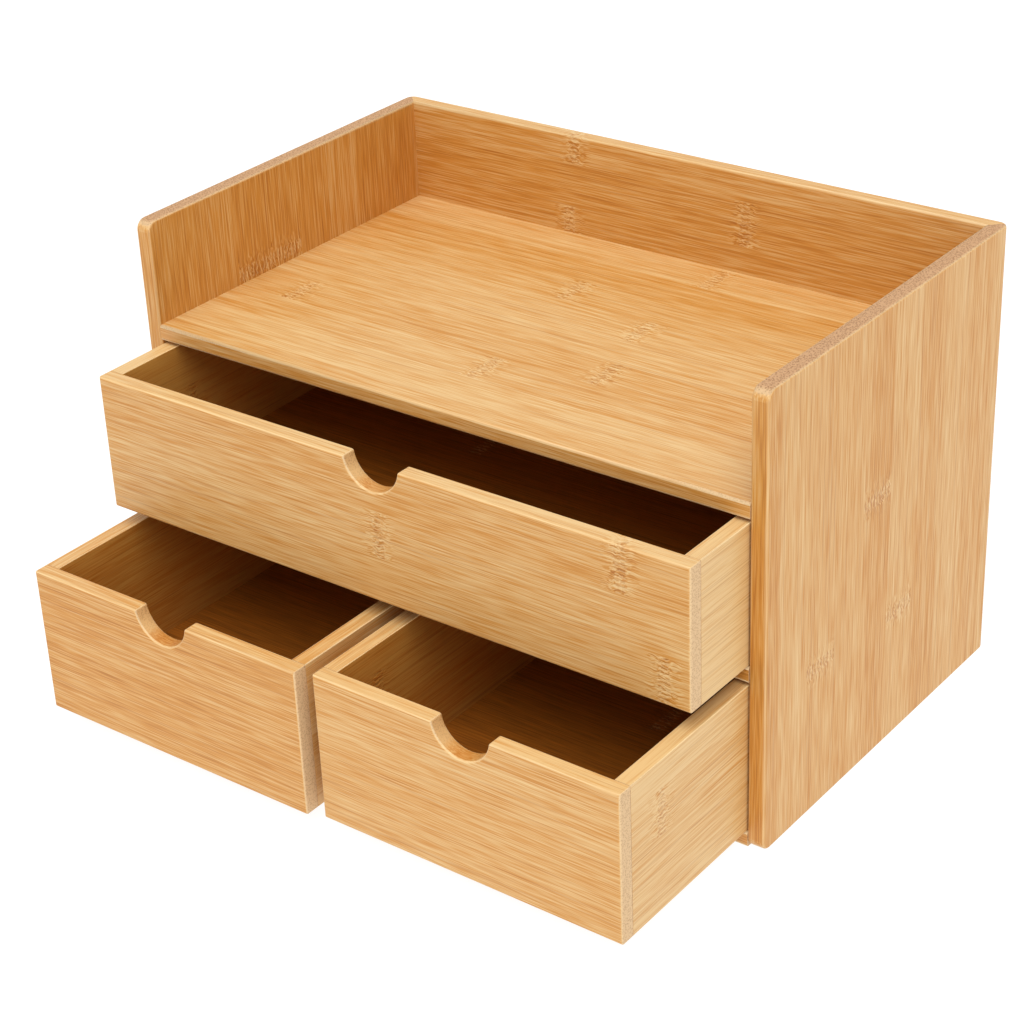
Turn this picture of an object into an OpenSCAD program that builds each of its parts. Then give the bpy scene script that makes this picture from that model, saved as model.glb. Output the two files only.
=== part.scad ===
// Bamboo desk organizer: an open tray over one wide drawer and two half-width drawers.
// X runs to the right, Y to the back and Z up. The drawers slide out towards -Y.
// The origin is the middle of the case's underside.

/* [Case] */
// Outside width of the case
case_w = 330; // [220:1:480]
// Outside depth of the case
case_d = 196; // [160:1:300]
// Thickness of the two side boards and of the back board
board_t = 8; // [6.5:0.5:14]
// Thickness of the tray board, the middle shelf and the bottom board
shelf_t = 7.5; // [6.5:0.5:14]
// Thickness of the divider between the two lower drawers
divider_t = 6; // [4:0.5:14]
// Radius of the side boards' front corners, seen from the side
front_corner_r = 5; // [1:0.5:12]
// Radius of the upright corners at the back, seen from above
rear_corner_r = 4.5; // [1:0.5:6]

/* [Rows] */
// Height of the opening that the two lower drawers share
lower_bay_h = 73; // [45:1:120]
// Height of the opening of the wide upper drawer
upper_bay_h = 67; // [45:1:120]
// Height of the tray's rim over the tray board
tray_rim_h = 49.5; // [12:0.5:120]

/* [Drawers] */
// Thickness of the drawers' fronts, sides and backs
drawer_t = 7.5; // [6.5:0.5:12]
// Thickness of the drawers' bottoms
drawer_bottom_t = 4; // [2.5:0.5:6]
// Height of a drawer's groove over its lower edge
groove_lift = 4; // [3:0.5:8]
// Depth of the grooves that hold the drawers' bottoms
groove_depth = 3; // [2:0.5:4]
// Clearance between a drawer and the board on either side
side_gap = 0.6; // [0.3:0.1:2]
// Clearance between a drawer and the board over it
top_gap = 1.5; // [0.5:0.1:4]
// Clearance between a drawer and the board under it
run_gap = 0.3; // [0.3:0.1:1]
// Space left behind a drawer when it is shut
rear_gap = 4; // [1:0.5:15]
// Radius of the finger notches
notch_r = 14.5; // [9:0.5:20]
// Height of the centre of a notch over the top edge
notch_rise = 1.5; // [0:0.5:5]

/* [Drawers as they stand] */
// How far the upper drawer stands out
upper_open = 41; // [0:1:120]
// How far the lower left drawer stands out
lower_left_open = 93; // [0:1:120]
// How far the lower right drawer stands out
lower_right_open = 90; // [0:1:120]

/* [Joinery] */
// Diameter of the dowels
dowel_d = 4; // [3:0.5:5]
// Length of the dowels
dowel_l = 18; // [14:1:24]
// Depth of the dowels in a board's face
dowel_bite = 5; // [3:0.5:5.5]
// Distance from a case board's end to its nearest dowel
case_dowel_inset = 30; // [20:1:50]
// Distance from a drawer's upper and lower edges to its dowels
drawer_dowel_inset = 16; // [14:1:20]
// Depth of the two housings that hold the divider
housing_depth = 2; // [1:0.5:3]
// Length of the divider's front stretch that has no housing
housing_stop = 8; // [4:1:30]

/* [Hidden] */
$fn = 64;

// Clearances inside the joints
dowel_fit = 0.1;
dowel_end_gap = 0.5;
groove_fit = 0.1;
panel_end_gap = 0.3;

inner_w = case_w - 2 * board_t;
front_y = -case_d / 2;
back_y = case_d / 2 - board_t;
bay_d = back_y - front_y;

// Undersides of the three shelves, from the bottom up
bottom_z = 0;
middle_z = shelf_t + lower_bay_h;
tray_z = middle_z + shelf_t + upper_bay_h;
case_h = tray_z + shelf_t + tray_rim_h;

drawer_l = bay_d - rear_gap;
upper_w = inner_w - 2 * side_gap;
lower_w = (inner_w - divider_t) / 2 - 2 * side_gap;
lower_x = (inner_w + divider_t) / 4;
upper_h = upper_bay_h - run_gap - top_gap;
lower_h = lower_bay_h - run_gap - top_gap;

hole_d = dowel_d + dowel_fit;
bamboo = "#d9a564";
bamboo_side = "#cf9a58";
bamboo_dark = "#8a5a2b";
dowel_wood = "#e3c48f";

// ---- Shared shapes ----

// A board that stands centred on x = 0, from y and z upwards.
module board(width, y, length, z, height) {
    translate([-width / 2, y, z]) cube([width, length, height]);
}

// A round peg of the given diameter and length, centred, along X or along Y.
module peg_x(diameter, length) {
    rotate([0, 90, 0]) cylinder(d = diameter, h = length, center = true);
}

module peg_y(diameter, length) {
    rotate([90, 0, 0]) cylinder(d = diameter, h = length, center = true);
}

// ---- Case ----

// The case seen from above, with its two round corners at the back.
module case_plan() {
    r = rear_corner_r;
    translate([-case_w / 2, front_y]) square([case_w, case_d - r]);
    translate([-case_w / 2 + r, front_y]) square([case_w - 2 * r, case_d]);
    for (side = [-1, 1]) translate([side * (case_w / 2 - r), case_d / 2 - r]) circle(r);
}

// A side board seen from the side, with its two round corners at the front.
module side_profile() {
    r = front_corner_r;
    translate([front_y + r, 0]) square([case_d - r, case_h]);
    translate([front_y, r]) square([case_d, case_h - 2 * r]);
    for (z = [r, case_h - r]) translate([front_y + r, z]) circle(r);
}

// The part of the plan that belongs to the right side board, up to the mitre.
module right_side_plan() {
    intersection() {
        case_plan();
        polygon([
            [inner_w / 2, front_y],
            [case_w / 2, front_y],
            [case_w / 2, case_d / 2],
            [inner_w / 2, back_y]
        ]);
    }
}

// The part of the plan that belongs to the back board, between the two mitres.
module back_plan() {
    intersection() {
        case_plan();
        polygon([
            [-inner_w / 2, back_y],
            [inner_w / 2, back_y],
            [case_w / 2, case_d / 2],
            [-case_w / 2, case_d / 2]
        ]);
    }
}

// Each end of a shelf has three dowels and its rear edge has four, which miss the divider in the
// middle. This draws those pegs at any diameter.
module shelf_pegs(z, diameter, length) {
    reach = inner_w / 2 + dowel_bite - dowel_l / 2;
    for (side = [-1, 1], y = [front_y + case_dowel_inset, (front_y + back_y) / 2, back_y - case_dowel_inset])
        translate([side * reach, y, z + shelf_t / 2]) peg_x(diameter, length);
    rear_reach = inner_w / 2 - 2 * case_dowel_inset;
    for (share = [-1, -1 / 3, 1 / 3, 1])
        translate([share * rear_reach, back_y + dowel_bite - dowel_l / 2, z + shelf_t / 2])
            peg_y(diameter, length);
}

module all_shelf_holes() {
    for (z = [bottom_z, middle_z, tray_z]) shelf_pegs(z, hole_d, dowel_l + 2 * dowel_end_gap);
}

module side_board() {
    difference() {
        intersection() {
            linear_extrude(case_h) right_side_plan();
            rotate([90, 0, 90]) linear_extrude(case_w) side_profile();
        }
        all_shelf_holes();
    }
}

module side_right() {
    color(bamboo_side) side_board();
}

module side_left() {
    color(bamboo_side) mirror([1, 0, 0]) side_board();
}

module back() {
    color(bamboo) difference() {
        linear_extrude(case_h) back_plan();
        all_shelf_holes();
    }
}

module shelf(z) {
    difference() {
        board(inner_w, front_y, bay_d, z, shelf_t);
        shelf_pegs(z, hole_d, dowel_l + 2 * dowel_end_gap);
    }
}

// The divider's tongues stand in housings that stop short of the front edge.
module divider_solid() {
    board(divider_t, front_y, bay_d, shelf_t, lower_bay_h);
    board(divider_t, front_y + housing_stop, bay_d - housing_stop,
          shelf_t - housing_depth, lower_bay_h + 2 * housing_depth);
}

module tray_board() {
    color(bamboo) shelf(tray_z);
}

module middle_shelf() {
    color(bamboo) difference() {
        shelf(middle_z);
        divider_solid();
    }
}

module bottom_board() {
    color(bamboo) difference() {
        shelf(bottom_z);
        divider_solid();
    }
}

module divider() {
    color(bamboo_side) divider_solid();
}

module shelf_dowels(z) {
    color(dowel_wood) shelf_pegs(z, dowel_d, dowel_l);
}

// ---- Drawers ----
// Each drawer is drawn with its front face at y = 0 and its lower edge at z = 0.

// The space that the drawer's bottom and its grooves take up, grown by a clearance.
module bottom_space(width, ends, top) {
    inside_w = width - 2 * drawer_t + 2 * groove_depth;
    inside_l = drawer_l - 2 * drawer_t + 2 * groove_depth;
    board(inside_w - 2 * ends, drawer_t - groove_depth + ends, inside_l - 2 * ends,
          groove_lift, drawer_bottom_t + top);
}

// Two dowels in each corner of a drawer, at any diameter.
module drawer_pegs(width, height, diameter, length) {
    for (side = [-1, 1], z = [drawer_dowel_inset, height - drawer_dowel_inset]) {
        translate([side * (width - drawer_t) / 2, drawer_t - dowel_bite + dowel_l / 2, z])
            peg_y(diameter, length);
        translate([side * (width / 2 - drawer_t + dowel_bite - dowel_l / 2), drawer_l - drawer_t / 2, z])
            peg_x(diameter, length);
    }
}

module drawer_cuts(width, height) {
    bottom_space(width, 0, groove_fit);
    drawer_pegs(width, height, hole_d, dowel_l + 2 * dowel_end_gap);
}

module drawer_front(width, height) {
    color(bamboo) difference() {
        board(width, 0, drawer_t, 0, height);
        drawer_cuts(width, height);
        translate([0, drawer_t / 2, height + notch_rise]) peg_y(2 * notch_r, 2 * drawer_t);
    }
}

module drawer_side(width, height, side) {
    color(bamboo_side) difference() {
        translate([side * (width - drawer_t) / 2, 0, 0])
            board(drawer_t, drawer_t, drawer_l - drawer_t, 0, height);
        drawer_cuts(width, height);
    }
}

module drawer_back(width, height) {
    color(bamboo_side) difference() {
        board(width - 2 * drawer_t, drawer_l - drawer_t, drawer_t, 0, height);
        drawer_cuts(width, height);
    }
}

module drawer_bottom(width) {
    color(bamboo_dark) bottom_space(width, panel_end_gap, 0);
}

module drawer_dowels(width, height) {
    color(dowel_wood) drawer_pegs(width, height, dowel_d, dowel_l);
}

// Where each drawer stands.
module at_upper() {
    translate([0, front_y - upper_open, middle_z + shelf_t + run_gap]) children();
}

module at_lower_left() {
    translate([-lower_x, front_y - lower_left_open, shelf_t + run_gap]) children();
}

module at_lower_right() {
    translate([lower_x, front_y - lower_right_open, shelf_t + run_gap]) children();
}

// ---- Pieces ----

side_left();
side_right();
back();
tray_board();
middle_shelf();
bottom_board();
divider();
shelf_dowels(tray_z);  // tray_dowels
shelf_dowels(middle_z);  // middle_shelf_dowels
shelf_dowels(bottom_z);  // bottom_board_dowels

at_upper() drawer_front(upper_w, upper_h);  // upper_front
at_upper() drawer_side(upper_w, upper_h, -1);  // upper_side_left
at_upper() drawer_side(upper_w, upper_h, 1);  // upper_side_right
at_upper() drawer_back(upper_w, upper_h);  // upper_back
at_upper() drawer_bottom(upper_w);  // upper_bottom
at_upper() drawer_dowels(upper_w, upper_h);  // upper_dowels

at_lower_left() drawer_front(lower_w, lower_h);  // lower_left_front
at_lower_left() drawer_side(lower_w, lower_h, -1);  // lower_left_side_left
at_lower_left() drawer_side(lower_w, lower_h, 1);  // lower_left_side_right
at_lower_left() drawer_back(lower_w, lower_h);  // lower_left_back
at_lower_left() drawer_bottom(lower_w);  // lower_left_bottom
at_lower_left() drawer_dowels(lower_w, lower_h);  // lower_left_dowels

at_lower_right() drawer_front(lower_w, lower_h);  // lower_right_front
at_lower_right() drawer_side(lower_w, lower_h, -1);  // lower_right_side_left
at_lower_right() drawer_side(lower_w, lower_h, 1);  // lower_right_side_right
at_lower_right() drawer_back(lower_w, lower_h);  // lower_right_back
at_lower_right() drawer_bottom(lower_w);  // lower_right_bottom
at_lower_right() drawer_dowels(lower_w, lower_h);  // lower_right_dowels
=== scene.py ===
"""Looks of a bamboo desk organizer: an open tray over one wide drawer and two half-width drawers.

Every visible board is built here, with eased edges, around the box of the CAD node it stands for.
The dowels and the drawers' bottoms keep their CAD shape and get a finish.
"""

import math

import bmesh
import bpy
from bpy.props import FloatProperty, FloatVectorProperty, IntProperty, PointerProperty
from mathutils import Matrix, Vector


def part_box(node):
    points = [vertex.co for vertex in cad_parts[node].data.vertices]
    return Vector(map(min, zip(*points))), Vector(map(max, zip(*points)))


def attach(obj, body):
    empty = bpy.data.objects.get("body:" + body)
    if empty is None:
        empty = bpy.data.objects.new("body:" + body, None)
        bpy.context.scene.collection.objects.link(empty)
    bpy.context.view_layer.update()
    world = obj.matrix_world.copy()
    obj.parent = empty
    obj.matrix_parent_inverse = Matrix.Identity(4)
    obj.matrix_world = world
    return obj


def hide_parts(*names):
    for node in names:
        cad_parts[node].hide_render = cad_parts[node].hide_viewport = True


bl_info = {
    "name": "Bamboo desk organizer",
    "version": (1, 0, 0),
    "blender": (4, 5, 0),
    "location": "3D View > Sidebar > Organizer",
    "description": "Builds the boards, drawers and finishes of a bamboo desk organizer",
    "category": "Object",
}

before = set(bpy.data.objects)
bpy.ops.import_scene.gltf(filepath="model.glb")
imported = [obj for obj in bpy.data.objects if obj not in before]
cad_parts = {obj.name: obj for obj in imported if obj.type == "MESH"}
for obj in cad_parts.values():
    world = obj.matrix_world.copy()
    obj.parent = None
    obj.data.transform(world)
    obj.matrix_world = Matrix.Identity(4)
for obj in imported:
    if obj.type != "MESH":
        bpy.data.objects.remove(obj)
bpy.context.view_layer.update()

MM = 0.001
X, Y, Z = Vector((1, 0, 0)), Vector((0, 1, 0)), Vector((0, 0, 1))
TOUCH = 0.01 * MM         # closer than this is the same place
SHARP = math.radians(40)  # faces that meet at more than this make an edge that is eased
SQUARE = 0.9999           # a normal with this much along an axis is square to it
INSET = 1 * MM            # how far outside a board's box an inner face may lie

DRAWERS = ("upper", "lower_left", "lower_right")
SHELVES = ("tray_board", "middle_shelf", "bottom_board")

# Places in a Mix node of colours.
MIX_A, MIX_B, MIX_OUT = 6, 7, 2

# Where a culm's knuckles show on the boards, in mm.
KNUCKLES = {
    "upright": (
        (165, -11, 128), (165, 11, 64), (165, -55, 70),
        (-157, -33, 167), (-157, -11, 168), (-165, 33, 98), (-165, -55, 40),
    ),
    "level": (
        (-20, 33, 162), (29, 76, 162), (32, 11, 162),
        (44, -33, 162), (-4, -56, 162), (-128, -40, 162),
    ),
    "back": ((-59, 90, 203), (37, 90, 181), (-63, 90, 167), (-90, 98, 55), (70, 98, 121)),
    "front": ((2, -139, 113), (124, -139, 143), (144, -139, 97), (60, -4, 33), (-90, 45, 121)),
    "lengthwise": ((156, -160, 50), (-156, -90, 121), (11, -156, 62)),
    "bottom": ((-60, -90, 12), (90, -60, 12), (-40, -20, 92)),
}
KNUCKLE_REACH = (10, 60, 60)  # mm along, across and through the grain, to where a knuckle fades out

# Each board's warmth: 0 is pale straw, 1 is deep amber. A face keeps how far its warmth is from the
# middle, so that a CAD mesh, whose faces keep no such number, gets the middle.
MIDDLE = 0.5
WARMTH = {
    "side_left": 0.65,
    "side_right": 0.65,
    "back": 0.75,
    "tray_board": 0.47,
    "middle_shelf": 0.8,
    "bottom_board": 0.8,
    "divider": 0.75,
    "upper_front": 0.58,
    "lower_left_front": 0.94,
    "lower_right_front": 0.73,
    "upper_side_left": 0.2,
    "upper_side_right": 0.0,
    "lower_right_side_right": 0.25,
}
PLAIN_WARMTH = 0.38

# What is added to the warmth of the faces that look into the case and of the case boards' front edges,
# deeper amber as painted shade, and of the upper edges of the drawers' fronts, paler as painted light.
CASE_INSIDE_PAINTED_SHADE = 0.3
FRONT_EDGE_PAINTED_SHADE = 0.22
TOP_EDGE_PAINTED_LIGHT = -0.5

# How much painted shade, as the inside tone multiplied in, the faces inside a drawer and the walls of a
# finger notch get.
DRAWER_SHADE = 1.0
NOTCH_SHADE = 0.6

# Patterns of the bamboo, as how often they repeat in each mm: along, across and through the grain.
FIBRES = (0.012, 1.25, 1.25)   # 0.8 mm wide and 80 mm long
DASHES = (0.045, 1.9, 1.9)     # the vessels cut open by the planing: 0.5 mm wide and 22 mm long
BANDS = (0.007, 0.22, 0.22)    # 5 mm wide
DARK_LINES = (0.009, 1.2, 1.2)  # sparse, 0.8 mm wide and 110 mm long
SWIRLS = 0.16                  # 6 mm across, round a knuckle
PORES = 1.2                    # 0.8 mm apart in the sawn ends

STROKES = 0.13             # a Wave node's scale, which sets a knuckle's strokes 2.4 mm apart
SWING = 5.0                # mm that fibres swing aside in the middle of a knuckle
CULM_SHIFT = 400.0         # mm that a strip's pattern may be moved, so that no two strips look alike
NOISE_SPAN = (0.32, 0.68)  # nearly all of a noise's values lie in this

# How far each pattern moves the tone between straw and amber.
STRIP_TONE = 0.32
WIDE_STRIP_TONE = 0.6  # of the tray and the back, whose strips differ more
BAND_TONE = 0.1
FIBRE_TONE = 0.27
DASH_TONE = 0.42
KNUCKLE_DASH_TONE = 0.6  # what is added to it in the middle of a knuckle
DARK_LINE_TONE = 0.36
ALL_FIBRE = 1.7          # the share of amber at which only the dark fibre's colour is left
STROKE_DARK_TONE = 0.5
STROKE_HIGHLIGHT_TONE = 0.35
ARRIS_WEAR_AND_HIGHLIGHT = 0.35        # how much paler an eased edge is: sanded wood and a painted highlight
FRONT_PORE_TONE = 0.45
RIM_PORE_TONE = 1.0

# Relief, as shares of its full height, and roughness.
RELIEF_HEIGHT = 0.25 * MM
FIBRE_RISE = 0.25
STROKE_RISE = 0.7
LACQUER_ROUGHNESS = (0.38, 0.52)
END_ROUGHNESS = 0.25     # what a sawn end adds

# Floor and light. The floor gives off most of its white itself, so that hardly any shadow shows on it.
FLOOR_HALF = 6.0               # metres from the middle to the floor's edge
FLOOR_GREY = 0.2
FLOOR_GLOW = 0.92
KEY_SPREAD = math.radians(50)  # how wide the key light looks from the object
TOWARD_KEY = Vector((0.25, -0.42, 1.0))
WHITE = (1, 1, 1, 1)


# ---- Sizes, colours and light that a user may change ----

def length(name, description, millimetres):
    """A size property, given in millimetres and kept in metres."""
    return FloatProperty(
        name=name, description=description, default=millimetres * MM, min=0.0, unit="LENGTH", precision=4
    )


def linear(hex_colour):
    """Turns an sRGB hex colour into linear red, green and blue."""
    shares = [int(hex_colour[i:i + 2], 16) / 255 for i in (1, 3, 5)]
    return [s / 12.92 if s <= 0.04045 else ((s + 0.055) / 1.055) ** 2.4 for s in shares]


def paint(name, description, hex_colour):
    """A colour property, given as sRGB hex and kept linear."""
    return FloatVectorProperty(
        name=name, description=description, default=linear(hex_colour), subtype="COLOR", min=0.0, max=1.0
    )


class OrganizerSizes(bpy.types.PropertyGroup):
    """Sizes that only the looks have: how far each edge is eased."""

    case_arris: length("Case arris", "Rounding of the case boards' edges", 1.2)
    front_arris: length("Front arris", "Rounding of the drawer fronts' outer edges", 1.0)
    inner_arris: length("Inner arris", "Rounding of the edges that meet another board", 0.35)
    front_corner: length("Front corner", "Radius of the side boards' front corners", 5.0)
    rear_corner: length("Rear corner", "Radius of the case's upright rear corners", 4.5)
    notch_radius: length("Notch radius", "Radius of the finger notches", 14.5)
    notch_rise: length("Notch rise", "Height of a notch's centre over the top edge", 1.5)
    notch_lip: length("Notch lip", "Rounding where a notch meets the top edge", 1.0)
    tongue_stop: length("Tongue stop", "How far behind its front the divider's tongues stop", 8.0)
    notch_steps: IntProperty(
        name="Notch steps", description="Flat pieces in a finger notch's arc", default=28, min=8, max=64
    )


class BambooFinish(bpy.types.PropertyGroup):
    """Colours and scale of the lacquered bamboo."""

    straw: paint("Straw", "Pale strips", "#E1BC82")
    amber: paint("Amber", "Warm strips", "#CB8B39")
    fibre: paint("Fibre", "Thin dark fibres", "#AA6824")
    # Painted shade: the faces inside the drawers and the walls of the notches are multiplied by this, to
    # darken them.
    inside: paint("Inside tone", "What the faces inside the drawers are multiplied by", "#EACB8C")
    end_grain: paint("End grain", "Sawn ends of the drawers' strips", "#DDBA8C")
    rim_grain: paint("Rim end grain", "Sawn ends of the case's upright strips", "#C79B70")
    end_pore: paint("End pores", "Vessels in the sawn ends", "#9A6C42")
    # Paler wood where sanding shows on an eased edge, and a painted highlight along the edges and on the
    # knuckles' strokes.
    worn_edge_and_highlight: paint("Eased edge", "Edges where the sanding shows", "#EFD3A0")
    # Partly a stained board's own colour, partly painted shade: made dark brown for the dim insides of the
    # drawers.
    bottom: paint("Drawer bottom", "Stained thin board of the drawers' bottoms", "#A4601A")
    dowel: paint("Dowel", "Beech dowels", "#D9B98A")
    strip_width: length("Strip width", "Width of one laminated strip", 22.0)


class StudioLight(bpy.types.PropertyGroup):
    """Camera and light."""

    azimuth: FloatProperty(
        name="Azimuth", description="Camera's turn to the right of the front",
        default=math.radians(38.09), subtype="ANGLE",
    )
    elevation: FloatProperty(
        name="Elevation", description="Camera's height over the level",
        default=math.radians(28.57), subtype="ANGLE",
    )
    roll: FloatProperty(
        name="Roll", description="Camera's turn about its own line of sight",
        default=math.radians(-2.565), subtype="ANGLE",
    )
    distance: length("Distance", "Camera's distance from the point it looks at", 1095.8)
    target: FloatVectorProperty(
        name="Target", description="Point that the camera looks at",
        default=(-4.55 * MM, -40 * MM, 84.37 * MM), subtype="TRANSLATION", unit="LENGTH",
    )
    focal_length: FloatProperty(name="Focal length", description="In millimetres", default=85.31, min=1.0)
    sky: FloatProperty(
        name="Sky", description="Strength of the white tent round the object", default=0.72, min=0.0
    )
    key: FloatProperty(name="Key", description="Strength of the key light", default=1.9, min=0.0)


# ---- Materials ----

def add(tree, kind, inputs=None, **settings):
    """Adds a node, sets its properties, and fills or links its inputs."""
    node = tree.nodes.new(kind)
    for name, value in settings.items():
        setattr(node, name, value)
    for place, value in (inputs or {}).items():
        if isinstance(value, bpy.types.NodeSocket):
            tree.links.new(value, node.inputs[place])
        else:
            node.inputs[place].default_value = value
    return node


def new_material(name):
    """An empty node material and its output node."""
    material = bpy.data.materials.new(name)
    material.use_nodes = True
    tree = material.node_tree
    tree.nodes.clear()
    return material, tree, add(tree, "ShaderNodeOutputMaterial")


def opaque(colour):
    """A colour with full alpha, as a socket takes it."""
    return (*colour, 1.0)


def board_place(tree, order):
    """A place on the boards in mm, with its parts turned to lie along, across and through the grain."""
    split = add(tree, "ShaderNodeSeparateXYZ", {0: add(tree, "ShaderNodeTexCoord").outputs["Object"]})
    parts = {i: split.outputs[axis.upper()] for i, axis in enumerate(order)}
    turned = add(tree, "ShaderNodeCombineXYZ", parts).outputs[0]
    return add(tree, "ShaderNodeVectorMath", {0: turned, "Scale": 1 / MM}, operation="SCALE").outputs[0]


def strip_draw(tree, place, width):
    """The number of the glued strip that a place is on, and the strip's own random draw."""
    across = add(tree, "ShaderNodeSeparateXYZ", {0: place}).outputs[1]
    strip = add(tree, "ShaderNodeMath", {0: across, 1: width}, operation="DIVIDE").outputs[0]
    number = add(tree, "ShaderNodeMath", {0: strip}, operation="FLOOR").outputs[0]
    board = add(tree, "ShaderNodeAttribute", attribute_name="board").outputs["Fac"]
    seed = add(tree, "ShaderNodeCombineXYZ", {0: number, 1: board, 2: 0.5}).outputs[0]
    return number, add(tree, "ShaderNodeTexWhiteNoise", {"Vector": seed}, noise_dimensions="3D")


def nearness_to_knuckle(tree, place, number, knuckles, width):
    """1 in the middle of a knuckle, falling to 0 round it. A knuckle stays on its own strip."""
    nearest = 0.0
    for knuckle in knuckles:
        centred = add(
            tree, "ShaderNodeMapping", {"Vector": place, "Location": knuckle, "Scale": KNUCKLE_REACH},
            vector_type="TEXTURE",
        )
        ball = add(tree, "ShaderNodeTexGradient", {"Vector": centred.outputs[0]}, gradient_type="SPHERICAL")
        own = math.floor(knuckle[1] / width)
        same = add(tree, "ShaderNodeMath", {0: number, 1: own, 2: 0.5}, operation="COMPARE")
        kept = add(
            tree, "ShaderNodeMath", {0: ball.outputs["Fac"], 1: same.outputs[0]}, operation="MULTIPLY"
        ).outputs[0]
        nearest = add(tree, "ShaderNodeMath", {0: nearest, 1: kept}, operation="MAXIMUM").outputs[0]
    return nearest


def swung_aside(tree, place, culm_place, near):
    """A place along the culm, moved a few mm to and fro near a knuckle, where the fibres swing aside."""
    noise = {"Vector": place, "Scale": SWIRLS, "Detail": 1.0}
    swirl = add(tree, "ShaderNodeTexNoise", noise).outputs["Color"]
    centred = add(
        tree, "ShaderNodeVectorMath", {0: swirl, 1: (0.5, 0.5, 0.5)}, operation="SUBTRACT"
    ).outputs[0]
    swing = add(tree, "ShaderNodeMath", {0: near, 1: SWING}, operation="MULTIPLY").outputs[0]
    moved = add(tree, "ShaderNodeVectorMath", {0: centred, "Scale": swing}, operation="SCALE").outputs[0]
    return add(tree, "ShaderNodeVectorMath", {0: culm_place, 1: moved}, operation="ADD").outputs[0]


def streaks(tree, place, pattern, detail):
    """Noise drawn out along the grain, from 0 to 1."""
    drawn_out = add(tree, "ShaderNodeVectorMath", {0: place, 1: pattern}, operation="MULTIPLY").outputs[0]
    noise = {"Vector": drawn_out, "Scale": 1.0, "Detail": detail, "Roughness": 0.65}
    return add(tree, "ShaderNodeTexNoise", noise).outputs["Fac"]


def planed_face(tree, place, fibre, tone, near, strip_tone, pale, deep, finish):
    """Colour of a planed face: strip, bands, fibres and cut vessels set a share from straw to amber.

    A share over 1 goes on from amber towards the dark fibres.
    """
    # Each face's warmth carries painted shade on the case's inner faces and front edges, and painted light
    # on the drawers' top edges.
    warmth_and_painted_light = add(tree, "ShaderNodeAttribute", attribute_name="warmth_and_painted_light").outputs["Fac"]
    share = add(
        tree, "ShaderNodeMapRange",
        {"Value": tone, "To Min": MIDDLE - strip_tone / 2, "To Max": MIDDLE + strip_tone / 2},
    ).outputs[0]
    share = add(tree, "ShaderNodeMath", {0: warmth_and_painted_light, 1: share}, operation="ADD").outputs[0]
    dash_tone = add(
        tree, "ShaderNodeMath", {0: near, 1: KNUCKLE_DASH_TONE, 2: DASH_TONE}, operation="MULTIPLY_ADD"
    ).outputs[0]
    patterns = (
        (fibre, FIBRE_TONE),
        (streaks(tree, place, BANDS, 2.0), BAND_TONE),
        (streaks(tree, place, DASHES, 1.0), dash_tone),
    )
    least, most = NOISE_SPAN
    for pattern, reach in patterns:
        part = add(
            tree, "ShaderNodeMapRange",
            {"Value": pattern, "From Min": least, "From Max": most, "To Min": -1.0, "To Max": 1.0},
        ).outputs[0]
        share = add(
            tree, "ShaderNodeMath", {0: part, 1: reach, 2: share}, operation="MULTIPLY_ADD"
        ).outputs[0]
    wood = add(
        tree, "ShaderNodeMix", {0: share, MIX_A: pale, MIX_B: deep}, data_type="RGBA"
    ).outputs[MIX_OUT]
    beyond = add(
        tree, "ShaderNodeMapRange", {"Value": share, "From Min": 1.0, "From Max": ALL_FIBRE}
    ).outputs[0]
    lines = streaks(tree, place, DARK_LINES, 1.0)
    dark = add(
        tree, "ShaderNodeMapRange",
        {"Value": lines, "From Min": 0.57, "From Max": 0.72, "To Max": DARK_LINE_TONE},
        interpolation_type="SMOOTHSTEP",
    ).outputs[0]
    for darkness in (beyond, dark):
        wood = add(
            tree, "ShaderNodeMix", {0: darkness, MIX_A: wood, MIX_B: opaque(finish.fibre)},
            data_type="RGBA",
        ).outputs[MIX_OUT]
    return wood


def knuckle_strokes(tree, wood, place, near, finish):
    """A knuckle is a row of short strokes, each with the knuckle's dark fibre on one flank and a painted
    highlight, as of light on the raised stroke, on the other.
    """
    in_knuckle = add(
        tree, "ShaderNodeMapRange", {"Value": near, "From Min": 0.6, "From Max": 0.74},
        interpolation_type="SMOOTHSTEP",
    ).outputs[0]
    wave = add(
        tree, "ShaderNodeTexWave",
        {"Vector": place, "Scale": STROKES, "Distortion": 5.0, "Detail": 3.0, "Detail Scale": 3.0},
        bands_direction="Y",
    ).outputs["Fac"]
    stroke = add(tree, "ShaderNodeMath", {0: wave, 1: in_knuckle}, operation="MULTIPLY").outputs[0]
    dark = add(
        tree, "ShaderNodeMapRange",
        {"Value": stroke, "From Min": 0.75, "From Max": 1.0, "To Max": STROKE_DARK_TONE},
    ).outputs[0]
    # Painted highlight: the pale flank of each stroke, as if light caught its raised side.
    pale = add(
        tree, "ShaderNodeMapRange",
        {"Value": wave, "From Min": 0.0, "From Max": 0.3, "To Min": STROKE_HIGHLIGHT_TONE, "To Max": 0.0},
    ).outputs[0]
    pale = add(tree, "ShaderNodeMath", {0: pale, 1: in_knuckle}, operation="MULTIPLY").outputs[0]
    for share, colour in ((pale, finish.worn_edge_and_highlight), (dark, finish.fibre)):
        wood = add(
            tree, "ShaderNodeMix", {0: share, MIX_A: wood, MIX_B: opaque(colour)}, data_type="RGBA"
        ).outputs[MIX_OUT]
    return wood, stroke


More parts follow.
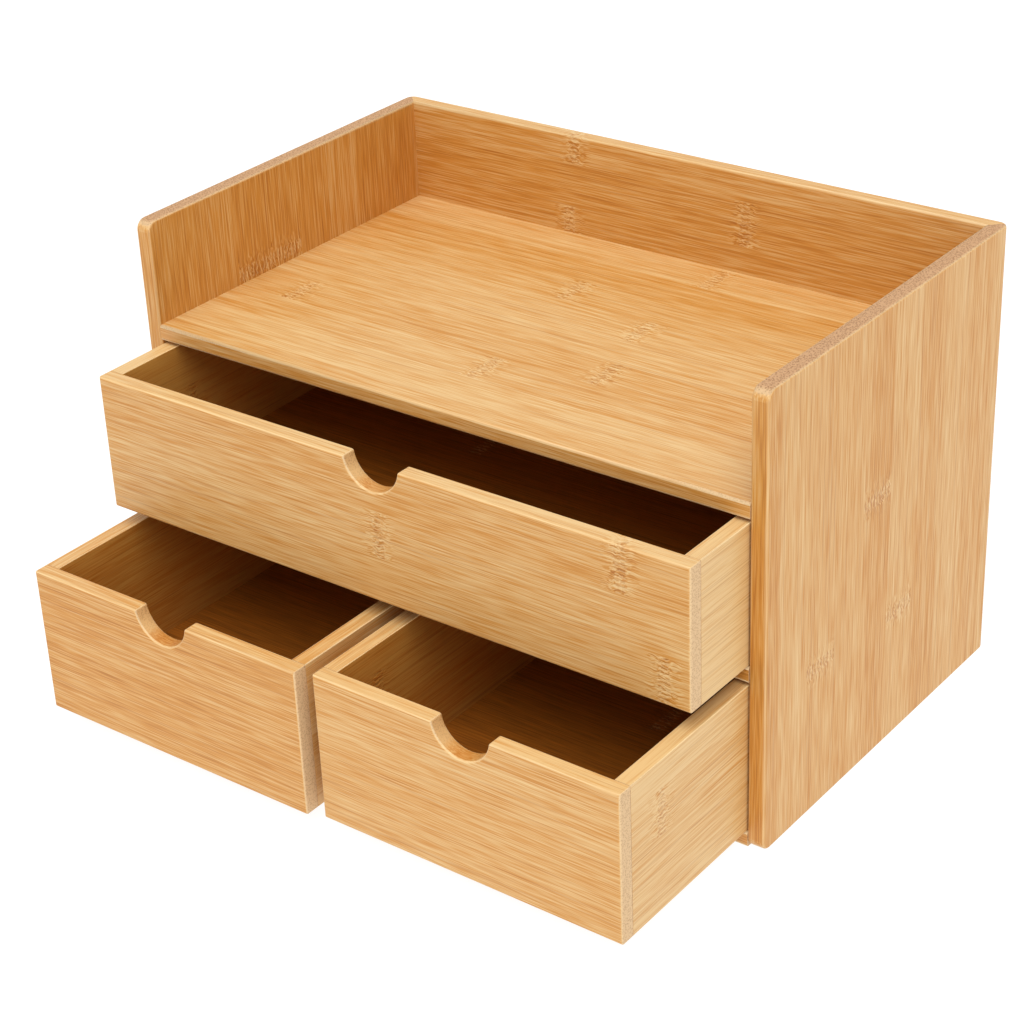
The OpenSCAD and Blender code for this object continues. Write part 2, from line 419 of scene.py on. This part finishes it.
def sawn_end(tree, normal, axis, place, fibre, ends, pores, finish):
    """Where the board faces along the grain: a mask with a ragged border, the colour, and the pores."""
    facing = add(tree, "ShaderNodeSeparateXYZ", {0: normal}).outputs[axis.upper()]
    squarely = add(tree, "ShaderNodeMath", {0: facing}, operation="ABSOLUTE").outputs[0]
    ragged = add(
        tree, "ShaderNodeMath", {0: fibre, 1: 0.5, 2: squarely}, operation="MULTIPLY_ADD"
    ).outputs[0]
    mask = add(
        tree, "ShaderNodeMapRange", {"Value": ragged, "From Min": 0.78, "From Max": 0.92},
        interpolation_type="SMOOTHSTEP",
    ).outputs[0]
    cells = add(
        tree, "ShaderNodeTexVoronoi", {"Vector": place, "Scale": PORES}, feature="F1"
    ).outputs["Distance"]
    pore = add(
        tree, "ShaderNodeMapRange",
        {"Value": cells, "From Min": 0.12, "From Max": 0.6, "To Min": pores, "To Max": 0.0},
        interpolation_type="SMOOTHSTEP",
    ).outputs[0]
    colour = add(
        tree, "ShaderNodeMix", {0: pore, MIX_A: ends, MIX_B: opaque(finish.end_pore)}, data_type="RGBA"
    ).outputs[MIX_OUT]
    return mask, colour, add(tree, "ShaderNodeMath", {0: pore, 1: mask}, operation="MULTIPLY").outputs[0]


def sanded_and_highlit_arris(tree, normal, wood, finish):
    """An eased edge, where no axis faces the surface squarely, is made paler: partly sanding down to paler
    wood, partly a painted highlight along the edge.
    """
    sizes = add(tree, "ShaderNodeVectorMath", {0: normal}, operation="ABSOLUTE").outputs[0]
    parts = add(tree, "ShaderNodeSeparateXYZ", {0: sizes}).outputs
    largest = add(tree, "ShaderNodeMath", {0: parts[0], 1: parts[1]}, operation="MAXIMUM").outputs[0]
    largest = add(tree, "ShaderNodeMath", {0: largest, 1: parts[2]}, operation="MAXIMUM").outputs[0]
    on_arris = add(
        tree, "ShaderNodeMapRange",
        {"Value": largest, "From Min": 0.8, "From Max": 0.98, "To Min": ARRIS_WEAR_AND_HIGHLIGHT, "To Max": 0.0},
    ).outputs[0]
    return add(
        tree, "ShaderNodeMix", {0: on_arris, MIX_A: wood, MIX_B: opaque(finish.worn_edge_and_highlight)}, data_type="RGBA"
    ).outputs[MIX_OUT]


def relief(tree, fibre, stroke, pore):
    """Fibres stand a few hundredths of a mm proud, knuckles a little more, and pores are sunk."""
    rise = add(tree, "ShaderNodeMath", {0: fibre, 1: FIBRE_RISE}, operation="MULTIPLY").outputs[0]
    rise = add(
        tree, "ShaderNodeMath", {0: stroke, 1: STROKE_RISE, 2: rise}, operation="MULTIPLY_ADD"
    ).outputs[0]
    rise = add(tree, "ShaderNodeMath", {0: rise, 1: pore}, operation="SUBTRACT").outputs[0]
    return add(
        tree, "ShaderNodeBump", {"Height": rise, "Strength": 0.6, "Distance": RELIEF_HEIGHT}
    ).outputs[0]


def bamboo(name, finish, order, knuckles, strip_tone, pale, deep, ends, pores):
    """Laminated bamboo board, planed, sanded and satin lacquered.

    Long parallel fibres run along the grain, and neighbouring strips differ in tone. Short embossed
    strokes show where a culm had a knuckle, and the sawn ends are matt and speckled with pores.
    """
    material, tree, output = new_material(name)
    normal = add(tree, "ShaderNodeTexCoord").outputs["Normal"]
    place = board_place(tree, order)
    width = finish.strip_width / MM
    number, draw = strip_draw(tree, place, width)
    turned = [[knuckle["xyz".index(axis)] for axis in order] for knuckle in knuckles]
    near = nearness_to_knuckle(tree, place, number, turned, width)

    # Each strip comes from its own place along the culm.
    shift = add(
        tree, "ShaderNodeVectorMath", {0: draw.outputs["Color"], "Scale": CULM_SHIFT}, operation="SCALE"
    ).outputs[0]
    culm_place = add(tree, "ShaderNodeVectorMath", {0: place, 1: shift}, operation="ADD").outputs[0]
    bent = swung_aside(tree, place, culm_place, near)
    fibre = streaks(tree, bent, FIBRES, 3.0)

    tone = draw.outputs["Value"]
    wood = planed_face(tree, bent, fibre, tone, near, strip_tone, opaque(pale), opaque(deep), finish)
    wood, stroke = knuckle_strokes(tree, wood, culm_place, near, finish)
    is_end, end_colour, pore = sawn_end(tree, normal, order[0], place, fibre, opaque(ends), pores, finish)
    wood = add(
        tree, "ShaderNodeMix", {0: is_end, MIX_A: wood, MIX_B: end_colour}, data_type="RGBA"
    ).outputs[MIX_OUT]
    wood = sanded_and_highlit_arris(tree, normal, wood, finish)
    # Painted shade: faces inside a drawer and a notch's wall are multiplied by the inside tone.
    shade = add(tree, "ShaderNodeAttribute", attribute_name="shade").outputs["Fac"]
    colour = add(
        tree, "ShaderNodeMix", {0: shade, MIX_A: wood, MIX_B: opaque(finish.inside)},
        data_type="RGBA", blend_type="MULTIPLY",
    ).outputs[MIX_OUT]

    # The lacquer is thinner over the fibres, and the sawn ends soak it up.
    smooth, rough = LACQUER_ROUGHNESS
    lacquer = add(
        tree, "ShaderNodeMapRange",
        {"Value": fibre, "From Min": 0.3, "From Max": 0.7, "To Min": smooth, "To Max": rough},
    ).outputs[0]
    roughness = add(
        tree, "ShaderNodeMath", {0: is_end, 1: END_ROUGHNESS, 2: lacquer}, operation="MULTIPLY_ADD"
    ).outputs[0]
    bump = relief(tree, fibre, stroke, pore)
    shader = add(
        tree, "ShaderNodeBsdfPrincipled",
        {"Base Color": colour, "Roughness": roughness, "Normal": bump, "IOR": 1.5},
    )
    tree.links.new(shader.outputs[0], output.inputs["Surface"])
    return material


def dowel_beech(finish):
    """Turned beech dowel, raw: pale and matt, with flecks about 1 mm wide."""
    material, tree, output = new_material("dowel beech")
    place = add(tree, "ShaderNodeTexCoord").outputs["Object"]
    fleck = add(tree, "ShaderNodeTexNoise", {"Vector": place, "Scale": 900.0, "Detail": 3.0}).outputs["Fac"]
    dark = [c * 0.7 for c in finish.dowel]
    colour = add(
        tree, "ShaderNodeMix", {0: fleck, MIX_A: opaque(finish.dowel), MIX_B: opaque(dark)},
        data_type="RGBA",
    ).outputs[MIX_OUT]
    bump = add(tree, "ShaderNodeBump", {"Height": fleck, "Strength": 0.4, "Distance": 0.1 * MM})
    shader = add(
        tree, "ShaderNodeBsdfPrincipled",
        {"Base Color": colour, "Roughness": 0.7, "Normal": bump.outputs[0]},
    )
    tree.links.new(shader.outputs[0], output.inputs["Surface"])
    return material


def finish_of(key):
    """The material of a kind of board, made the first time it is asked for."""
    name = f"bamboo {key}"
    known = bpy.data.materials.get(name)
    if known:
        return known
    finish = bpy.context.scene.bamboo_finish
    orders = {
        "upright": "zyx",
        "level": "xyz",
        "back": "xzy",
        "front": "xzy",
        "lengthwise": "yzx",
        "bottom": "xyz",
    }
    pale, deep, ends, pores = finish.straw, finish.amber, finish.end_grain, FRONT_PORE_TONE
    strip_tone = WIDE_STRIP_TONE if key in ("level", "back") else STRIP_TONE
    if key == "upright":
        ends, pores = finish.rim_grain, RIM_PORE_TONE
    if key == "bottom":
        # The stain, made darker as painted shade for the drawers' dim insides, goes unevenly from a little
        # paler to much darker than its own colour.
        pale = [part * 1.25 for part in finish.bottom]
        deep = [part * 0.6 for part in finish.bottom]
    return bamboo(name, finish, orders[key], KNUCKLES[key], strip_tone, pale, deep, ends, pores)


# ---- Shaping boards ----

def block(low, high):
    """A plain board between two corners."""
    bm = bmesh.new()
    bmesh.ops.create_cube(bm, size=1.0)
    bmesh.ops.scale(bm, vec=high - low, verts=bm.verts)
    bmesh.ops.translate(bm, vec=(low + high) / 2, verts=bm.verts)
    return bm


def middle_of(edge):
    """The middle of an edge."""
    return (edge.verts[0].co + edge.verts[1].co) / 2


def runs_along(edge, axis):
    """Whether an edge is parallel to an axis."""
    return abs((edge.verts[1].co - edge.verts[0].co).normalized().dot(axis)) > 0.999


def round_edges(bm, edges, radius, segments):
    """Rounds some edges to a radius."""
    bmesh.ops.bevel(
        bm, geom=edges, offset=radius, offset_type="OFFSET", segments=segments, profile=0.5,
        affect="EDGES", material=-1, clamp_overlap=False,
    )


def ease(bm, radius, wanted=None, segments=3):
    """Rounds the sharp edges whose middle passes a test, or all of them."""
    sharp = [
        e for e in bm.edges
        if len(e.link_faces) == 2 and e.calc_face_angle() > SHARP and (wanted is None or wanted(e))
    ]
    round_edges(bm, sharp, radius, segments)


def saw(bm, point, normal):
    """Saws off what lies on the normal's side of a plane, and closes the cut."""
    everything = bm.verts[:] + bm.edges[:] + bm.faces[:]
    cut = bmesh.ops.bisect_plane(
        bm, geom=everything, dist=TOUCH, plane_co=point, plane_no=normal, clear_outer=True
    )
    rim = [g for g in cut["geom_cut"] if isinstance(g, bmesh.types.BMEdge)]
    bmesh.ops.edgeloop_fill(bm, edges=rim)


def cut_pocket(bm, normal, low, high, depth):
    """Sinks the part of a flat face that lies between two corners, as for a tongue or a panel's edge.

    A pocket that reaches past the board's end is open there. A depth under 0 raises the part.
    """
    surface = max(normal.dot(f.calc_center_median()) for f in bm.faces if f.normal.dot(normal) > SQUARE)
    across = [axis for axis in (X, Y, Z) if abs(normal.dot(axis)) < 0.5]
    planes = [(corner, axis) for axis in across for corner in (low, high)]
    for point, axis in (*planes, (normal * (surface - depth), normal)):
        everything = bm.verts[:] + bm.edges[:] + bm.faces[:]
        bmesh.ops.bisect_plane(bm, geom=everything, dist=TOUCH, plane_co=point, plane_no=axis)

    def between(face):
        centre = face.calc_center_bounds()
        return all(axis.dot(low) + TOUCH < axis.dot(centre) < axis.dot(high) - TOUCH for axis in across)

    sunk = [f for f in bm.faces if f.normal.dot(normal) > SQUARE and between(f)]
    grown = bmesh.ops.extrude_face_region(bm, geom=sunk)
    moved = [g for g in grown["geom"] if isinstance(g, bmesh.types.BMVert)]
    bmesh.ops.translate(bm, vec=-normal * depth, verts=moved)
    # The old surface goes, and so does the film that is left where a pocket runs out of the end.
    spare = [f for f in sunk if f.is_valid]
    if depth > 0:
        for face in bm.faces:
            sunk_by = surface - normal.dot(face.calc_center_bounds())
            if between(face) and TOUCH < sunk_by < depth - TOUCH:
                spare.append(face)
    bmesh.ops.delete(bm, geom=spare, context="FACES")
    bmesh.ops.remove_doubles(bm, verts=bm.verts, dist=TOUCH)


def groove_for_bottom(bm, drawer, inward):
    """Cuts the groove that takes the edge of a drawer's bottom, in the face that looks inward."""
    low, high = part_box(f"{drawer}_bottom")
    face = [f for f in bm.faces if f.normal.dot(inward) > SQUARE][0]
    reached = high if inward.dot(X + Y) < 0 else low
    depth = inward.dot(face.calc_center_median() - reached)
    cut_pocket(bm, inward, low, high, depth)


def write_attribute(mesh, name, values):
    """Keeps one number for each face, for the material to read."""
    mesh.attributes.new(name, "FLOAT", "FACE").data.foreach_set("value", values)


def looks_into(face, low, high):
    """Whether an upright face stands round the space between two corners and looks into it."""
    if abs(face.normal.z) > 0.5:
        return False
    beside_x = low.x - INSET < face.center.x < high.x + INSET
    beside_y = low.y - INSET < face.center.y < high.y + INSET
    return beside_x and beside_y and face.normal.dot((low + high) / 2 - face.center) > 0


def in_notch(face, low, high):
    """Whether a face of a drawer's front is part of the wall of its finger notch."""
    radius = bpy.context.scene.organizer_sizes.notch_radius
    beside = abs(face.center.x - (low.x + high.x) / 2)
    return abs(face.normal.y) < 0.1 and beside < radius and high.z - radius < face.center.z < high.z


def case_tones(mesh, node):
    """The warmth and the shade of each face of a case board; faces that look into the case and the front
    edges get deeper amber as painted shade.
    """
    low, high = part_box("tray_board")
    board = WARMTH.get(node, PLAIN_WARMTH)
    for face in mesh.polygons:
        # Painted shade: faces that look into the case, and the boards' front edges, get deeper amber.
        if looks_into(face, low, high):
            yield board + CASE_INSIDE_PAINTED_SHADE, 0.0
        elif face.normal.y < -SQUARE and face.center.y < low.y + INSET:
            yield board + FRONT_EDGE_PAINTED_SHADE, 0.0
        else:
            yield board, 0.0


def drawer_tones(mesh, node, drawer):
    """The warmth and the shade of each face of a drawer's board: painted shade inside the drawer and on the
    notch's wall, and a paler top edge of the front as painted light.
    """
    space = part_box(f"{drawer}_bottom")
    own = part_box(node)
    board = WARMTH.get(node, PLAIN_WARMTH)
    is_front = node.endswith("front")
    for face in mesh.polygons:
        if is_front and in_notch(face, *own):
            yield board, NOTCH_SHADE
        elif is_front and face.normal.z > 0.5:
            yield board + TOP_EDGE_PAINTED_LIGHT, 0.0
        elif looks_into(face, *space):
            yield board, DRAWER_SHADE
        else:
            yield board, 0.0


def add_piece(bm, node, body, material):
    """Turns a finished board into a piece that stands for its CAD node and rides on its body."""
    bmesh.ops.recalc_face_normals(bm, faces=bm.faces)
    mesh = bpy.data.meshes.new(f"{node}_bamboo")
    bm.to_mesh(mesh)
    bm.free()
    for face in mesh.polygons:
        face.use_smooth = max(abs(part) for part in face.normal) < SQUARE
    number = float(sorted(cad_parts).index(node) + 1)
    drawer = body.removesuffix("_drawer")
    tones = list(case_tones(mesh, node) if body == "case" else drawer_tones(mesh, node, drawer))
    write_attribute(mesh, "board", [number] * len(tones))
    write_attribute(mesh, "warmth_and_painted_light", [warmth_and_painted_light - MIDDLE for warmth_and_painted_light, shade in tones])
    write_attribute(mesh, "shade", [shade for warmth_and_painted_light, shade in tones])
    mesh.materials.append(material)
    piece = bpy.data.objects.new(f"{node}_bamboo", mesh)
    bpy.context.scene.collection.objects.link(piece)
    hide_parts(node)
    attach(piece, body)
    return piece


def give_finish(node, material):
    """Gives a CAD node that keeps its shape its material."""
    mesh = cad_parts[node].data
    mesh.materials.clear()
    mesh.materials.append(material)


# ---- Operators: one for each kind of piece ----

class ORGANIZER_OT_side_boards(bpy.types.Operator):
    """Builds the two side boards, rounded in front and mitred to the back"""

    bl_idname = "organizer.side_boards"
    bl_label = "Side boards"

    def execute(self, context):
        sizes = context.scene.organizer_sizes
        back_low, back_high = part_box("back")
        for node, outward in (("side_left", -1), ("side_right", 1)):
            low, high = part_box(node)
            bm = block(low, Vector((high.x, back_high.y, high.z)))
            centre = (low + high) / 2
            front = [e for e in bm.edges if runs_along(e, X) and middle_of(e).y < centre.y]
            round_edges(bm, front, sizes.front_corner, segments=10)
            rear = [
                e for e in bm.edges
                if runs_along(e, Z) and middle_of(e).y > centre.y
                and (middle_of(e).x - centre.x) * outward > 0
            ]
            round_edges(bm, rear, sizes.rear_corner, segments=8)
            ease(bm, sizes.case_arris, segments=4)
            inner_x = low.x if outward > 0 else high.x
            saw(bm, Vector((inner_x, back_low.y, 0)), Vector((-outward, 1, 0)))
            add_piece(bm, node, "case", finish_of("upright"))
        return {"FINISHED"}


class ORGANIZER_OT_back_board(bpy.types.Operator):
    """Builds the back board, mitred to both sides"""

    bl_idname = "organizer.back_board"
    bl_label = "Back board"

    def execute(self, context):
        sizes = context.scene.organizer_sizes
        low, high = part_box("back")
        left_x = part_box("side_left")[0].x
        right_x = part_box("side_right")[1].x
        bm = block(Vector((left_x, low.y, low.z)), Vector((right_x, high.y, high.z)))
        rear = [e for e in bm.edges if runs_along(e, Z) and middle_of(e).y > low.y + TOUCH]
        round_edges(bm, rear, sizes.rear_corner, segments=8)
        ease(bm, sizes.case_arris, segments=4)
        for side, inner_x in ((1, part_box("side_right")[0].x), (-1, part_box("side_left")[1].x)):
            saw(bm, Vector((inner_x, low.y, 0)), Vector((side, -1, 0)))
        add_piece(bm, "back", "case", finish_of("back"))
        return {"FINISHED"}


class ORGANIZER_OT_shelves(bpy.types.Operator):
    """Builds the tray board, the middle shelf and the bottom board"""

    bl_idname = "organizer.shelves"
    bl_label = "Tray board and shelves"

    def execute(self, context):
        sizes = context.scene.organizer_sizes
        for node in SHELVES:
            low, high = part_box(node)
            bm = block(low, high)
            ease(bm, sizes.case_arris, lambda e: runs_along(e, X) and middle_of(e).y < low.y + TOUCH)
            self.house_divider(bm, low, high, sizes)
            add_piece(bm, node, "case", finish_of("level"))
        return {"FINISHED"}

    def house_divider(self, bm, low, high, sizes):
        """Cuts the stopped housing that takes a tongue of the divider, if it reaches into this board."""
        tongue_low, tongue_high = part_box("divider")
        start = tongue_low + Y * sizes.tongue_stop
        past_end = tongue_high + Y * MM
        if low.z < tongue_low.z < high.z:
            cut_pocket(bm, Z, start, past_end, high.z - tongue_low.z)
        if low.z < tongue_high.z < high.z:
            cut_pocket(bm, -Z, start, past_end, tongue_high.z - low.z)


class ORGANIZER_OT_divider(bpy.types.Operator):
    """Builds the divider between the lower drawers, with the tongues that the shelves' housings take"""

    bl_idname = "organizer.divider"
    bl_label = "Divider"

    def execute(self, context):
        sizes = context.scene.organizer_sizes
        low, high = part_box("divider")
        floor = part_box("bottom_board")[1].z
        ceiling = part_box("middle_shelf")[0].z
        bm = block(Vector((low.x, low.y, floor)), Vector((high.x, high.y, ceiling)))
        behind_stop = low + Y * sizes.tongue_stop
        cut_pocket(bm, -Z, behind_stop, high + Y * MM, low.z - floor)
        cut_pocket(bm, Z, behind_stop, high + Y * MM, ceiling - high.z)
        ease(bm, sizes.inner_arris, lambda e: runs_along(e, Z) and middle_of(e).y < low.y + TOUCH)
        add_piece(bm, "divider", "case", finish_of("lengthwise"))
        return {"FINISHED"}


class ORGANIZER_OT_drawer_fronts(bpy.types.Operator):
    """Builds the three drawer fronts with their finger notches"""

    bl_idname = "organizer.drawer_fronts"
    bl_label = "Drawer fronts"

    def execute(self, context):
        sizes = context.scene.organizer_sizes
        for drawer in DRAWERS:
            node = f"{drawer}_front"
            low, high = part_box(node)
            bm = self.outline(low, high, sizes)
            grown = bmesh.ops.extrude_face_region(bm, geom=bm.faces[:])
            moved = [g for g in grown["geom"] if isinstance(g, bmesh.types.BMVert)]
            bmesh.ops.translate(bm, vec=Y * (high.y - low.y), verts=moved)
            bmesh.ops.recalc_face_normals(bm, faces=bm.faces)
            lips = [
                e for e in bm.edges
                if runs_along(e, Y) and middle_of(e).z > high.z - TOUCH
                and low.x + TOUCH < middle_of(e).x < high.x - TOUCH
            ]
            round_edges(bm, lips, sizes.notch_lip, segments=5)
            ease(bm, sizes.front_arris, lambda e: middle_of(e).y < low.y + TOUCH, segments=4)
            ease(bm, sizes.inner_arris, segments=2)
            groove_for_bottom(bm, drawer, Y)
            add_piece(bm, node, f"{drawer}_drawer", finish_of("front"))
        return {"FINISHED"}

    def outline(self, low, high, sizes):
        """The front's outline as one face, with the notch spun into its top edge."""
        bm = bmesh.new()
        radius, rise = sizes.notch_radius, sizes.notch_rise
        half = math.sqrt(radius ** 2 - rise ** 2)
        middle = (low.x + high.x) / 2
        corners = (
            (low.x, high.z), (low.x, low.z), (high.x, low.z), (high.x, high.z),
            (middle + half, high.z),
        )
        verts = [bm.verts.new((x, low.y, z)) for x, z in corners]
        for first, second in zip(verts, verts[1:]):
            bm.edges.new((first, second))
        spun = bmesh.ops.spin(
            bm, geom=[verts[-1]], cent=(middle, low.y, high.z + rise), axis=Y,
            angle=2 * math.acos(rise / radius), steps=sizes.notch_steps,
        )
        end = [g for g in spun["geom_last"] if isinstance(g, bmesh.types.BMVert)][0]
        bm.edges.new((end, verts[0]))
        bmesh.ops.edgeloop_fill(bm, edges=bm.edges[:])
        return bm


class ORGANIZER_OT_drawer_sides(bpy.types.Operator):
    """Builds the drawers' side boards"""

    bl_idname = "organizer.drawer_sides"
    bl_label = "Drawer sides"

    def execute(self, context):
        sizes = context.scene.organizer_sizes
        for drawer in DRAWERS:
            for side, inward in (("left", X), ("right", -X)):
                node = f"{drawer}_side_{side}"
                low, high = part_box(node)
                bm = block(low, high)
                ease(bm, sizes.inner_arris, lambda e: middle_of(e).y > low.y + TOUCH, segments=2)
                groove_for_bottom(bm, drawer, inward)
                add_piece(bm, node, f"{drawer}_drawer", finish_of("lengthwise"))
        return {"FINISHED"}


class ORGANIZER_OT_drawer_backs(bpy.types.Operator):
    """Builds the drawers' backs, which stand between the sides"""

    bl_idname = "organizer.drawer_backs"
    bl_label = "Drawer backs"

    def execute(self, context):
        sizes = context.scene.organizer_sizes
        for drawer in DRAWERS:
            node = f"{drawer}_back"
            low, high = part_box(node)
            bm = block(low, high)
            ease(bm, sizes.inner_arris, lambda e: runs_along(e, X), segments=2)
            groove_for_bottom(bm, drawer, -Y)
            add_piece(bm, node, f"{drawer}_drawer", finish_of("front"))
        return {"FINISHED"}


class ORGANIZER_OT_hidden_parts(bpy.types.Operator):
    """Gives the drawers' bottoms and the dowels, which keep their CAD shape, their finish"""

    bl_idname = "organizer.hidden_parts"
    bl_label = "Drawer bottoms and dowels"

    def execute(self, context):
        beech = dowel_beech(context.scene.bamboo_finish)
        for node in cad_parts:
            if node.endswith("_dowels"):
                give_finish(node, beech)
        for drawer in DRAWERS:
            give_finish(f"{drawer}_bottom", finish_of("bottom"))
        return {"FINISHED"}


class ORGANIZER_OT_studio(bpy.types.Operator):
    """Sets up the pale floor, the soft light and the camera"""

    bl_idname = "organizer.studio"
    bl_label = "Studio"

    def execute(self, context):
        scene = context.scene
        studio = scene.studio_light
        scene.view_settings.view_transform = "Standard"
        self.floor(context)
        self.sky(scene, studio.sky)
        self.key(scene, studio.key)
        self.camera(scene, studio)
        return {"FINISHED"}

    def floor(self, context):
        """A wide matt white floor under the object."""
        bm = bmesh.new()
        bmesh.ops.create_grid(bm, x_segments=1, y_segments=1, size=FLOOR_HALF)
        mesh = bpy.data.meshes.new("floor")
        bm.to_mesh(mesh)
        bm.free()
        material, tree, output = new_material("studio paper")
        shader = add(
            tree, "ShaderNodeBsdfPrincipled",
            {
                "Base Color": opaque([FLOOR_GREY] * 3), "Roughness": 1.0, "Specular IOR Level": 0.0,
                "Emission Color": WHITE, "Emission Strength": FLOOR_GLOW,
            },
        )
        tree.links.new(shader.outputs[0], output.inputs["Surface"])
        mesh.materials.append(material)
        floor = bpy.data.objects.new("floor", mesh)
        context.scene.collection.objects.link(floor)

    def sky(self, scene, strength):
        """An even white tent round the object, which shows as full white where it is seen directly."""
        world = bpy.data.worlds.new("white tent")
        world.use_nodes = True
        tree = world.node_tree
        seen = add(tree, "ShaderNodeLightPath").outputs["Is Camera Ray"]
        shown = add(
            tree, "ShaderNodeMapRange", {"Value": seen, "To Min": strength, "To Max": 1.0}
        ).outputs[0]
        background = tree.nodes["Background"]
        background.inputs["Color"].default_value = WHITE
        tree.links.new(shown, background.inputs["Strength"])
        scene.world = world

    def key(self, scene, strength):
        """One large soft light from the front right, over the object."""
        lamp = bpy.data.lights.new("key", "SUN")
        lamp.energy = strength
        lamp.angle = KEY_SPREAD
        key = bpy.data.objects.new("key", lamp)
        key.rotation_euler = TOWARD_KEY.to_track_quat("Z", "Y").to_euler()
        scene.collection.objects.link(key)

    def camera(self, scene, studio):
        """A camera that looks at the target from an azimuth and an elevation, with a slight roll."""
        lens = bpy.data.cameras.new("camera")
        lens.lens = studio.focal_length
        lens.clip_end = 50.0
        camera = bpy.data.objects.new("camera", lens)
        turn = (
            Matrix.Rotation(studio.azimuth, 3, "Z")
            @ Matrix.Rotation(math.pi / 2 - studio.elevation, 3, "X")
            @ Matrix.Rotation(studio.roll, 3, "Z")
        )
        place = Vector(studio.target) + turn @ Z * studio.distance
        camera.matrix_world = Matrix.Translation(place) @ turn.to_4x4()
        scene.collection.objects.link(camera)
        scene.camera = camera


# ---- Panel and registration ----

PIECE_OPERATORS = (
    ORGANIZER_OT_side_boards,
    ORGANIZER_OT_back_board,
    ORGANIZER_OT_shelves,
    ORGANIZER_OT_divider,
    ORGANIZER_OT_drawer_fronts,
    ORGANIZER_OT_drawer_sides,
    ORGANIZER_OT_drawer_backs,
    ORGANIZER_OT_hidden_parts,
    ORGANIZER_OT_studio,
)


class ORGANIZER_PT_panel(bpy.types.Panel):
    """Lists the organizer's sizes, finish, light and operators"""

    bl_idname = "ORGANIZER_PT_panel"
    bl_label = "Desk organizer"
    bl_space_type = "VIEW_3D"
    bl_region_type = "UI"
    bl_category = "Organizer"

    def draw(self, context):
        scene = context.scene
        for group in (scene.organizer_sizes, scene.bamboo_finish, scene.studio_light):
            box = self.layout.box()
            for name in group.__annotations__:
                box.prop(group, name)
        column = self.layout.column(align=True)
        for operator in PIECE_OPERATORS:
            column.operator(operator.bl_idname)


GROUPS = {
    "organizer_sizes": OrganizerSizes,
    "bamboo_finish": BambooFinish,
    "studio_light": StudioLight,
}
CLASSES = (*GROUPS.values(), *PIECE_OPERATORS, ORGANIZER_PT_panel)


def register():
    for cls in CLASSES:
        bpy.utils.register_class(cls)
    for name, group in GROUPS.items():
        setattr(bpy.types.Scene, name, PointerProperty(type=group))


def unregister():
    for name in GROUPS:
        delattr(bpy.types.Scene, name)
    for cls in reversed(CLASSES):
        bpy.utils.unregister_class(cls)


def main():
    """Builds every piece and the stage."""
    register()
    for operator in PIECE_OPERATORS:
        getattr(bpy.ops.organizer, operator.bl_idname.split(".")[1])()


if __name__ == "__main__":
    main()
